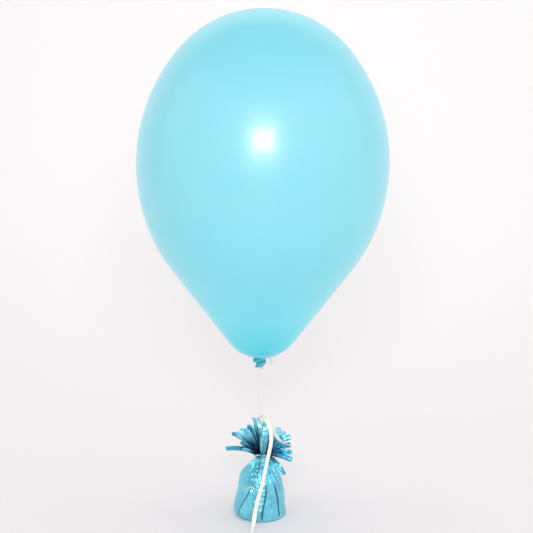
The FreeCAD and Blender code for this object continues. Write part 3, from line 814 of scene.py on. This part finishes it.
# direction, root lean, tip lean, length, width, swing, roll, tip curl, root radius (degrees and mm), and how
# brightly the strip catches the light, from 0 to 1
OUTER = [
    (196, 40, 90, 38, 5.6, -8, 84, 0, 7.2, 0.5),
    (203, 48, 66, 20, 5.2, 0, 60, 0, 6.5, 0.8),
    (0, 48, 76, 31, 6.2, -4, 82, 0, 6.4, 0.1),
    (352, 62, 92, 30, 6.0, 0, 78, 0, 6.8, 0.2),
    (344, 72, 108, 31, 6.0, 0, 75, 0, 7.0, 0.25),
    (322, 92, 139, 33, 5.6, 4, 35, 0, 7.0, 0.45),
    (66, 44, 88, 36, 5.4, -4, -8, 0, 7.0, 0.4),
    (104, 46, 92, 34, 5.4, 6, 0, 0, 7.0, 0.35),
    (124, 34, 70, 36, 5.6, -4, 8, 20, 6.4, 0.5),
    (142, 42, 78, 34, 5.8, 4, 62, 0, 6.8, 0.8),
    (254, 70, 122, 13, 5.4, 0, 0, 0, 7.2, 0.95),
    (277, 84, 134, 9, 5.0, 0, 10, 0, 7.2, 1.0),
]
MIDDLE = [
    (172, 32, 48, 39, 6.2, 4, 80, 48, 6.0, 0.35),
    (176, 30, 44, 36, 8.6, -4, 84, 20, 5.0, 0.95),
    (168, 24, 34, 36, 8.6, 4, 80, 10, 4.6, 1.0),
    (184, 17, 25, 35, 8.0, -6, 80, 30, 4.2, 0.7),
    (176, 11, 17, 37, 7.6, 0, 80, 16, 3.6, 0.6),
    (188, 38, 52, 25, 5.6, 6, 75, 0, 6.0, 0.45),
    (284, 6, 10, 27, 6.0, 0, 0, 10, 6.0, 0.9),
    (306, 10, 14, 29, 5.8, 0, 12, 0, 6.0, 0.8),
    (8, 36, 60, 36, 7.2, 0, 80, 24, 6.0, 0.75),
    (20, 26, 50, 35, 7.8, 0, 78, 50, 5.0, 0.9),
    (28, 16, 38, 36, 7.6, 0, 76, 60, 4.6, 0.85),
    (352, 26, 50, 30, 5.6, 0, 80, 0, 5.4, 0.3),
    (340, 16, 26, 26, 5.4, 0, 60, 0, 5.0, 0.35),
    (50, 30, 64, 38, 5.6, 4, 10, 20, 5.6, 0.5),
    (84, 26, 56, 38, 5.6, 0, 6, 30, 5.4, 0.6),
    (146, 16, 26, 36, 5.4, 0, 25, 10, 4.4, 0.6),
]
INNER = [
    (290, 3, 6, 43, 6.4, 0, 0, 170, 2.6, 1.0),
    (132, 7, 12, 43, 6.4, 0, 20, 20, 4.0, 0.7),
    (100, 10, 14, 42, 6.0, 0, -8, 30, 3.4, 0.95),
    (76, 9, 20, 40, 5.8, 0, 0, 60, 3.4, 0.8),
    (40, 8, 20, 34, 5.4, 0, 20, 30, 3.4, 0.95),
]
CURL_STARTS = 0.62  # share of a strip after which its curled tip begins
STRIP_STEPS = 30

print("strips", len(OUTER) + len(MIDDLE) + len(INNER))

# %% [markdown]
# The middle line of a strip bends quickest at its root and then follows the curl of its tip. The film spreads
# to both sides of that line, a little folded along its middle near the root and faintly rippled all over.
# Two numbers go with every point for the material: how much painted shade it gets deep inside the fringe, and
# how much painted light it catches.

# %% Fringe


def strip_line(direction, root_lean, tip_lean, length, swing, curl, root):
    point = Vector(around(root, math.radians(direction))) * MM
    point.z = FRINGE_FOOT
    line = [point.copy()]
    for k in range(STRIP_STEPS):
        share = (k + 0.5) / STRIP_STEPS
        bent = root_lean + (tip_lean - root_lean) * (1 - (1 - share) ** 2)
        lean = math.radians(bent + curl * eased(share, CURL_STARTS, 1.0))
        way = math.radians(direction + swing * share)
        step = Vector(around(math.sin(lean), way, math.cos(lean)))
        point = point + step * length * MM / STRIP_STEPS
        line.append(point.copy())
    return line


def strip_rows(strip):
    """Rows of points round a strip of film, from its root to its tip."""
    direction, root_lean, tip_lean, length, width, swing, roll, curl, root, _ = strip
    line = strip_line(direction, root_lean, tip_lean, length, swing, curl, root)
    seed = direction * 0.37 + root

    def across(share):
        way = math.radians(direction + swing * share + 90)
        sway = 12 * noise.noise(Vector((seed, share * 2.5, 0)))
        tilt = math.radians(roll * eased(share, -0.25, 0.3) + sway)
        return Vector(around(math.cos(tilt), way, math.sin(tilt)))

    def wide(share):
        return width * MM * (0.5 + 0.5 * eased(share, 0.0, 0.35)) * (1 - 0.3 * eased(share, 0.95, 1.0))

    rows = flat_rows(line, wide, FOIL_FILM, across, columns=8)
    shaped = []
    for r, row in enumerate(rows):
        share = r / (len(rows) - 1)
        out = heading(line, r).cross(across(share)).normalized()
        fold = 1.3 * MM * (1 - eased(share, 0.0, 0.5))
        count = len(row) // 2
        new = []
        for c, point in enumerate(row):
            u = (c if c < count else len(row) - 1 - c) / (count - 1) * 2 - 1
            ripple = 0.35 * MM * noise.noise(Vector((seed + u * 1.6, share * 8, 4)))
            pleat = 0.45 * MM * math.cos(u * 7 + seed) * (1 - 0.6 * share)
            new.append(point + out * (fold * (1 - abs(u)) + ripple + pleat))
        shaped.append(new)
    return shaped


fringe = []
for name, strips, replaced in (
    ("fringe_outer_strips", OUTER, "fringe_outer"),
    ("fringe_middle_strips", MIDDLE, "fringe_middle"),
    ("fringe_inner_strips", INNER, "fringe_inner"),
):
    built = [strip_rows(strip) for strip in strips]
    layer = from_rows(name, built)
    painted_fringe_shade, catches = [], []
    for strip, rows in zip(strips, built):
        # Painted shade deep in the fringe: strongest at the roots, reaching further up the back strips,
        # little on the front strips.
        open_front = 0.8 * near(strip[0], 295, 22)
        shaded = 0.3 * near(strip[0], 140, 55)
        for r, row in enumerate(rows):
            opened = eased(r / (len(rows) - 1), 0.16 + shaded, 0.78 + 0.5 * shaded)
            painted_fringe_shade += [(1 - open_front) * (1 - opened)] * len(row)
            catches += [strip[-1]] * len(row)
    point_values(layer, "painted_fringe_shade", painted_fringe_shade)
    point_values(layer, "catches", catches)
    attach(layer, "weight")
    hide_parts(replaced)
    fringe.append(layer)
    print(name, len(strips), "strips")

# %% [markdown]
# ## Shared surface effects
#
# Three effects are used by more than one material, so each is a node group with named inputs and outputs.
# Crinkle is the faceted crumple of thin film. Cloudiness is a slow, faint change of shade, as pigment has in
# rubber and plastic. Fine grain is a tiny even roughness. Each gives only masks or heights, and every
# material mixes them with its own colours and strengths.

# %% Node helpers


def feed(tree, target, inputs):
    """Fills inputs of a node by name or number: a socket is linked, a plain value is set."""
    for key, value in inputs.items():
        if hasattr(value, "is_linked"):
            tree.links.new(value, target.inputs[key])
        else:
            target.inputs[key].default_value = value


def node(tree, kind, inputs=None, **settings):
    made = tree.nodes.new(kind)
    for key, value in settings.items():
        setattr(made, key, value)
    feed(tree, made, inputs or {})
    return made


def new_group(name, numbers, results):
    """A group that takes a place and some named numbers, and gives named numbers back."""
    group = bpy.data.node_groups.new(name, "ShaderNodeTree")
    group.interface.new_socket(name="Vector", in_out="INPUT", socket_type="NodeSocketVector")
    for socket, value in numbers.items():
        made = group.interface.new_socket(name=socket, in_out="INPUT", socket_type="NodeSocketFloat")
        made.default_value = value
    for socket in results:
        group.interface.new_socket(name=socket, in_out="OUTPUT", socket_type="NodeSocketFloat")
    return group, group.nodes.new("NodeGroupInput").outputs, group.nodes.new("NodeGroupOutput")


def mix_number(tree, a, b, share):
    return node(tree, "ShaderNodeMix", {2: a, 3: b, 0: share}).outputs[0]


def mix_colour(tree, a, b, share):
    """A colour part of the way from a to b, each of them a socket or three plain numbers."""
    ends = [(*colour, 1) if isinstance(colour, tuple) else colour for colour in (a, b)]
    return node(tree, "ShaderNodeMix", {6: ends[0], 7: ends[1], 0: share}, data_type="RGBA").outputs[2]


def math_node(tree, operation, a, b, **settings):
    return node(tree, "ShaderNodeMath", {0: a, 1: b}, operation=operation, **settings).outputs[0]


def times(tree, a, b):
    return math_node(tree, "MULTIPLY", a, b)


print("node helpers ready")

# %% Crinkle, cloudiness and grain groups
crinkle, given, gives = new_group("crinkle", {"Size": 260.0, "Sharpness": 0.6}, ["Height", "Facets"])
wander = node(crinkle, "ShaderNodeTexNoise", {"Vector": given["Vector"], "Scale": 90, "Detail": 3})
moved = node(
    crinkle,
    "ShaderNodeVectorMath",
    {0: wander.outputs["Color"], 1: (0.006, 0.006, 0.006), 2: given["Vector"]},
    operation="MULTIPLY_ADD",
)
cells = {"Vector": moved.outputs[0], "Scale": given["Size"]}
facets = node(crinkle, "ShaderNodeTexVoronoi", cells, feature="F1")
ridges = node(crinkle, "ShaderNodeTexVoronoi", {**cells, "Smoothness": 0.35}, feature="SMOOTH_F1")
height = mix_number(crinkle, ridges.outputs["Distance"], facets.outputs["Distance"], given["Sharpness"])
shade = node(crinkle, "ShaderNodeSeparateColor", {0: facets.outputs["Color"]})
feed(crinkle, gives, {"Height": height, "Facets": shade.outputs[0]})

cloud, given, gives = new_group("cloudiness", {"Size": 12.0, "Contrast": 1.0}, ["Mask"])
pattern = {"Vector": given["Vector"], "Scale": given["Size"], "Detail": 4, "Roughness": 0.55}
centred = math_node(cloud, "SUBTRACT", node(cloud, "ShaderNodeTexNoise", pattern).outputs["Fac"], 0.5)
spread = times(cloud, centred, given["Contrast"])
feed(cloud, gives, {"Mask": math_node(cloud, "ADD", spread, 0.5, use_clamp=True)})

grain, given, gives = new_group("fine_grain", {"Size": 1400.0}, ["Height"])
pattern = {"Vector": given["Vector"], "Scale": given["Size"], "Detail": 2}
feed(grain, gives, {"Height": node(grain, "ShaderNodeTexNoise", pattern).outputs["Fac"]})
print("groups", [g.name for g in bpy.data.node_groups])

# %% Material helpers


def new_material(name):
    """A material with its nodes, its shader and the place of a point on the object."""
    made = bpy.data.materials.new(name)
    made.use_nodes = True
    tree = made.node_tree
    return made, tree, tree.nodes["Principled BSDF"], node(tree, "ShaderNodeTexCoord").outputs["Object"]


def use_group(tree, group, place, **numbers):
    return node(tree, "ShaderNodeGroup", {"Vector": place, **numbers}, node_tree=group).outputs


def ramp(tree, factor, stops):
    """A colour ramp through (position, colour) stops."""
    made = node(tree, "ShaderNodeValToRGB", {"Fac": factor})
    elements = made.color_ramp.elements
    while len(elements) < len(stops):
        elements.new(0.5)
    for element, (position, colour) in zip(elements, stops):
        element.position = position
        element.color = (*colour, 1)
    return made.outputs["Color"]


def bump(tree, height, strength, distance, before=None):
    """A bumped surface direction, added to an earlier one when there is one."""
    inputs = {"Height": height, "Strength": strength, "Distance": distance}
    if before is not None:
        inputs["Normal"] = before
    return node(tree, "ShaderNodeBump", inputs).outputs["Normal"]


def point_value(tree, name):
    """The number kept for each point of the mesh under a name."""
    return node(tree, "ShaderNodeAttribute", attribute_name=name).outputs["Fac"]


def paint(piece, material):
    piece.data.materials.clear()
    piece.data.materials.append(material)


print("material helpers ready")

# %% [markdown]
# ## Latex
#
# Stretched latex is thin and lets light through, so it looks pale and evenly bright; towards the neck it is
# less stretched, so its colour is deeper. The shade follows the height above the neck through a colour ramp.
# Light that passes through the skin is stood in for by a little light of its own and soft subsurface light,
# and the surface keeps a broad, soft shine.

# %% Latex materials
latex, tree, shader, place = new_material("stretched_latex")
height = node(tree, "ShaderNodeSeparateXYZ", {0: place}).outputs["Z"]
level = node(tree, "ShaderNodeMapRange", {"Value": height, "From Min": BOTTOM - 3 * MM, "From Max": CROWN})
stretch_tone_and_collar_light = ramp(
    tree,
    level.outputs[0],
    [
        # The two lowest stops paint the collar at the neck lighter than the rubber just above it: painted
        # light on a part in shade.
        (0.0, (0.060, 0.40, 0.48)),
        (0.006, (0.070, 0.43, 0.51)),
        (0.012, (0.006, 0.345, 0.445)),
        (0.05, (0.044, 0.425, 0.510)),
        (0.15, (0.104, 0.460, 0.540)),
        (0.30, (0.130, 0.445, 0.520)),
        (0.50, (0.158, 0.452, 0.522)),
        (0.75, (0.166, 0.452, 0.530)),
        (1.0, (0.110, 0.410, 0.480)),
    ],
)
mottle = use_group(tree, cloud, place, Size=14.0, Contrast=1.2)["Mask"]
haze = use_group(tree, cloud, place, Size=60.0, Contrast=1.0)["Mask"]
skin_grain = use_group(tree, grain, place, Size=900.0)["Height"]
colour = mix_colour(tree, stretch_tone_and_collar_light, (0.21, 0.50, 0.56), times(tree, mottle, 0.12))
feed(
    tree,
    shader,
    {
        "Base Color": colour,
        "Emission Color": colour,
        "Emission Strength": 0.58,
        "Subsurface Weight": 0.25,
        "Subsurface Radius": (0.02, 0.03, 0.035),
        "Subsurface Scale": 0.5,
        "IOR": 1.5,
        "Coat Roughness": 0.12,
        "Coat Weight": 0.35,
        "Roughness": mix_number(tree, 0.34, 0.40, haze),
        "Normal": bump(tree, skin_grain, 0.05, 0.2 * MM),
    },
)
paint(balloon, latex)

gathered, tree, shader, place = new_material("gathered_latex")
mottle = use_group(tree, cloud, place, Size=420.0, Contrast=1.6)["Mask"]
folds = {"Vector": place, "Scale": 210, "Distortion": 4}
wrinkle = node(tree, "ShaderNodeTexWave", folds, wave_type="BANDS", bands_direction="DIAGONAL")
feed(
    tree,
    shader,
    {
        "Base Color": mix_colour(tree, (0.035, 0.36, 0.50), (0.075, 0.56, 0.70), mottle),
        "Roughness": 0.38,
        "Subsurface Weight": 0.15,
        "Subsurface Radius": (0.001, 0.002, 0.002),
        "IOR": 1.5,
        "Normal": bump(tree, wrinkle.outputs["Fac"], 0.35, 0.3 * MM),
    },
)
for piece in (knot, lip):
    paint(piece, gathered)
print("latex materials ready")

# %% [markdown]
# ## Metallised film
#
# Balloon foil is plastic film with a mirror-like metal layer under tinted lacquer. Crumpled, it breaks the
# reflections into facets, so the crinkle group drives a bump and also paints some facets paler, a few white
# and some darker, as painted reflections and painted glints. The fringe uses a deeper tint and less crumple,
# because its strips were cut flat.

# %% Foil materials


def foil_surface(tree, shader, colour, rough, clouds, heights):
    """Tinted metal with a lacquer coat; heights are (socket, strength, depth) from coarse to fine."""
    normal = None
    for height, strength, depth in heights:
        normal = bump(tree, height, strength, depth, normal)
    feed(
        tree,
        shader,
        {
            "Base Color": colour,
            "Metallic": 0.85,
            "Roughness": mix_number(tree, rough, rough + 0.16, clouds),
            "Coat Weight": 0.12,
            "Coat Roughness": 0.08,
            "Normal": normal,
        },
    )


wrap_foil, tree, shader, place = new_material("wrap_foil")
facets = use_group(tree, crinkle, place, Size=230.0, Sharpness=0.7)
fine = use_group(tree, crinkle, place, Size=620.0, Sharpness=0.4)
clouds = use_group(tree, cloud, place, Size=70.0, Contrast=2.6)["Mask"]
crumple_and_glint_mask = point_value(tree, "crumple_and_painted_glints")
tint = mix_colour(tree, (0.122, 0.53, 0.70), (0.212, 0.72, 0.88), clouds)
# Painted reflections: paler facets, a few white painted glints and darker facets, most of all in the crumple
# patches.
painted_pale_facets = times(tree, facets["Facets"], math_node(tree, "ADD", times(tree, crumple_and_glint_mask, 0.55), 0.22))
tint = mix_colour(tree, tint, (0.36, 0.88, 1.0), painted_pale_facets)
painted_glints = math_node(tree, "GREATER_THAN", facets["Facets"], 0.84)
tint = mix_colour(tree, tint, (0.86, 1.0, 1.0), times(tree, painted_glints, times(tree, crumple_and_glint_mask, crumple_and_glint_mask)))
painted_dark_facets = math_node(tree, "GREATER_THAN", fine["Facets"], 0.62)
tint = mix_colour(tree, tint, (0.03, 0.28, 0.45), times(tree, times(tree, painted_dark_facets, crumple_and_glint_mask), 0.8))
# Painted shade: the film is darkened almost to black along each crease.
tint = mix_colour(tree, tint, (0.004, 0.085, 0.16), times(tree, point_value(tree, "crease_painted_shade"), 0.97))
creased = times(tree, facets["Height"], math_node(tree, "ADD", crumple_and_glint_mask, 0.35))
foil_surface(tree, shader, tint, 0.26, clouds, [(creased, 0.9, 1.8 * MM), (fine["Height"], 0.35, 0.5 * MM)])
paint(wrap, wrap_foil)

fringe_foil, tree, shader, place = new_material("fringe_foil")
facets = use_group(tree, crinkle, place, Size=170.0, Sharpness=0.6)
clouds = use_group(tree, cloud, place, Size=150.0, Contrast=2.2)["Mask"]
catch = math_node(tree, "ADD", point_value(tree, "catches"), times(tree, clouds, 0.3))
tint = ramp(
    tree,
    math_node(tree, "SUBTRACT", catch, 0.15),
    [
        (0.0, (0.02, 0.24, 0.42)),
        (0.5, (0.09, 0.46, 0.66)),
        (0.8, (0.24, 0.74, 0.90)),
        (1.0, (0.42, 0.92, 1.0)),
    ],
)
# Painted shade darkens the strips deep inside the fringe almost to black.
tint = mix_colour(tree, tint, (0.002, 0.035, 0.10), times(tree, point_value(tree, "painted_fringe_shade"), 0.96))
foil_surface(tree, shader, tint, 0.20, clouds, [(facets["Height"], 0.35, 1.0 * MM)])
for layer in fringe:
    paint(layer, fringe_foil)
print("foil materials ready")

# %% [markdown]
# ## Curling ribbon, band, wire and the hidden ballast
#
# Curling ribbon is woven-look polypropylene: ivory, with fine ribs along its length and a soft sheen. Where
# it is pulled taut, a painted shade makes it look a little greyer. The hidden pieces inside the wrap still
# get finishes of their own, since the model may be taken apart: moulded plastic for the cup, fibrous card
# for the lid and cast plaster for the slug.

# %% Ribbon material
ribbon_film, tree, shader, place = new_material("curling_ribbon")
ribs = node(
    tree,
    "ShaderNodeTexWave",
    {"Vector": place, "Scale": 700, "Distortion": 1.2},
    wave_type="BANDS",
    bands_direction="X",
)
tone = use_group(tree, cloud, place, Size=80.0, Contrast=1.4)["Mask"]
colour = mix_colour(tree, (0.88, 0.84, 0.75), (0.97, 0.95, 0.90), tone)
# Painted shade: the taut lengths are tinted a little greyer.
taut_grey_shade = times(tree, point_value(tree, "taut_painted_shade"), 0.9)
feed(
    tree,
    shader,
    {
        "Base Color": mix_colour(tree, colour, (0.81, 0.78, 0.74), taut_grey_shade),
        "Roughness": 0.42,
        "Subsurface Weight": 0.2,
        "Subsurface Radius": (0.002, 0.002, 0.0015),
        "Normal": bump(tree, ribs.outputs["Fac"], 0.2, 0.1 * MM),
    },
)
for piece in (long_ribbon, short_ribbon, taut_ribbon, neck_run, turns, tie, cut_end, hitch):
    paint(piece, ribbon_film)
print("ribbon material ready")

# %% Small and hidden materials


def plain_finish(name, dark, light, rough, metal, size, strength):
    """A finish of two close shades in a cloudy pattern with fine grain."""
    made, tree, shader, place = new_material(name)
    tone = use_group(tree, cloud, place, Size=size, Contrast=1.6)["Mask"]
    bits = use_group(tree, grain, place, Size=size * 20)["Height"]
    feed(
        tree,
        shader,
        {
            "Base Color": mix_colour(tree, dark, light, tone),
            "Roughness": mix_number(tree, rough, rough + 0.12, tone),
            "Metallic": metal,
            "Normal": bump(tree, bits, strength, 0.3 * MM),
        },
    )
    return made


for piece, *finish in (
    (band, "elastic", (0.86, 0.90, 0.91), (0.96, 0.98, 0.98), 0.25, 0.0, 200.0, 0.1),
    (wire, "bright_wire", (0.52, 0.52, 0.53), (0.70, 0.70, 0.70), 0.22, 1.0, 300.0, 0.08),
    (nodes["ballast_cup"], "cup_plastic", (0.78, 0.80, 0.81), (0.88, 0.89, 0.90), 0.35, 0.0, 40.0, 0.05),
    (nodes["cup_lid"], "card", (0.42, 0.32, 0.20), (0.56, 0.45, 0.30), 0.75, 0.0, 90.0, 0.5),
    (nodes["ballast_slug"], "cast_plaster", (0.62, 0.60, 0.55), (0.76, 0.74, 0.70), 0.8, 0.0, 60.0, 0.6),
):
    paint(piece, plain_finish(*finish))
print("small materials ready")

# %% [markdown]
# ## Floor, backdrop and light
#
# The object stands on a seamless white sweep: floor and wall in one curved sheet, so no line shows between
# them. The light is one soft box just above the camera, which puts a small soft-edged highlight on the
# balloon, large soft side and top lights, and an even bright world.

# %% Seamless sweep
SWEEP_WIDTH = 6.0
SWEEP_FRONT = -2.6
SWEEP_BACK = 1.1
SWEEP_TURN = 0.9
SWEEP_TOP = 4.0
SWEEP_DROP = 0.3 * MM  # the sheet lies this much below the foot of the object
sweep_line = [(SWEEP_FRONT, 0.0)]
sweep_line += arc((SWEEP_BACK - SWEEP_TURN, SWEEP_TURN), SWEEP_TURN, math.radians(-90), 0.0, 12)
sweep_line += [(SWEEP_BACK, SWEEP_TURN), (SWEEP_BACK, SWEEP_TOP)]
sheet_rows = [
    [Vector((x, y, z - SWEEP_DROP)) for x in (-SWEEP_WIDTH / 2, SWEEP_WIDTH / 2)] for y, z in sweep_line
]
sheet_points = [point for row in sheet_rows for point in row]
backdrop = mesh_object("backdrop", sheet_points, joined_rows(sheet_rows, round_rows=False))

paper, tree, shader, place = new_material("white_paper")
depth = node(tree, "ShaderNodeSeparateXYZ", {0: place}).outputs["Y"]
back = node(
    tree,
    "ShaderNodeMapRange",
    {"Value": depth, "From Min": -0.1, "From Max": SWEEP_BACK},
    interpolation_type="SMOOTHSTEP",
)
# Painted shade and light: the sheet is darker at the front and lighter towards the wall.
sheet_with_painted_shade = mix_colour(tree, (0.835, 0.775, 0.787), (0.90, 0.885, 0.889), back.outputs[0])
mottle = use_group(tree, cloud, place, Size=3.0, Contrast=1.0)["Mask"]
fibres = use_group(tree, grain, place, Size=400.0)["Height"]
feed(
    tree,
    shader,
    {
        "Base Color": mix_colour(tree, sheet_with_painted_shade, (0.93, 0.92, 0.92), times(tree, mottle, 0.06)),
        "Roughness": 0.75,
        "Normal": bump(tree, fibres, 0.05, 0.3 * MM),
    },
)
# Looked at from behind, the sheet steps out of the way, so that the back of the object can be seen.
behind = node(tree, "ShaderNodeNewGeometry").outputs["Backfacing"]
looked_at = node(tree, "ShaderNodeLightPath").outputs["Is Camera Ray"]
nothing = node(tree, "ShaderNodeBsdfTransparent").outputs[0]
unseen = times(tree, behind, looked_at)
clear = node(tree, "ShaderNodeMixShader", {0: unseen, 1: shader.outputs[0], 2: nothing})
feed(tree, tree.nodes["Material Output"], {"Surface": clear.outputs[0]})
paint(backdrop, paper)
print("sweep ready")

# %% Lights
FLASH = (0.005, -1.25, 0.815)  # just above the camera

for name, place, target, width, height, power, hidden_from in (
    ("front_flash", FLASH, (0, 0, 0.35), 0.44, 0.34, 6.9, ()),
    ("flash_core", FLASH, (0, 0, 0.35), 0.40, 0.32, 8, ("visible_diffuse",)),
    ("left_fill", (-1.6, -0.7, 1.0), (0, 0, 0.3), 2.4, 2.4, 6.4, ()),
    ("right_fill", (1.6, -0.7, 1.0), (0, 0, 0.3), 2.4, 2.4, 9.2, ()),
    ("top_light", (0, 0.1, 1.9), (0, 0, 0.2), 1.8, 1.8, 3.8, ("visible_glossy",)),
    ("wall_wash", (0, 0.55, 2.1), (0, 1.1, 0.95), 2.6, 0.4, 9.4, ("visible_glossy",)),
):
    data = bpy.data.lights.new(name, "AREA")
    data.shape = "RECTANGLE"
    data.size = width
    data.size_y = height
    data.energy = power
    lamp = bpy.data.objects.new(name, data)
    lamp.location = place
    lamp.rotation_euler = (Vector(target) - Vector(place)).to_track_quat("-Z", "Y").to_euler()
    for kind in hidden_from:
        setattr(lamp, kind, False)
    bpy.context.scene.collection.objects.link(lamp)
world = bpy.data.worlds.new("studio")
world.use_nodes = True
feed(world.node_tree, world.node_tree.nodes["Background"], {"Color": (1.0, 0.99, 0.98, 1), "Strength": 0.525})
bpy.context.scene.world = world
print("lights ready")
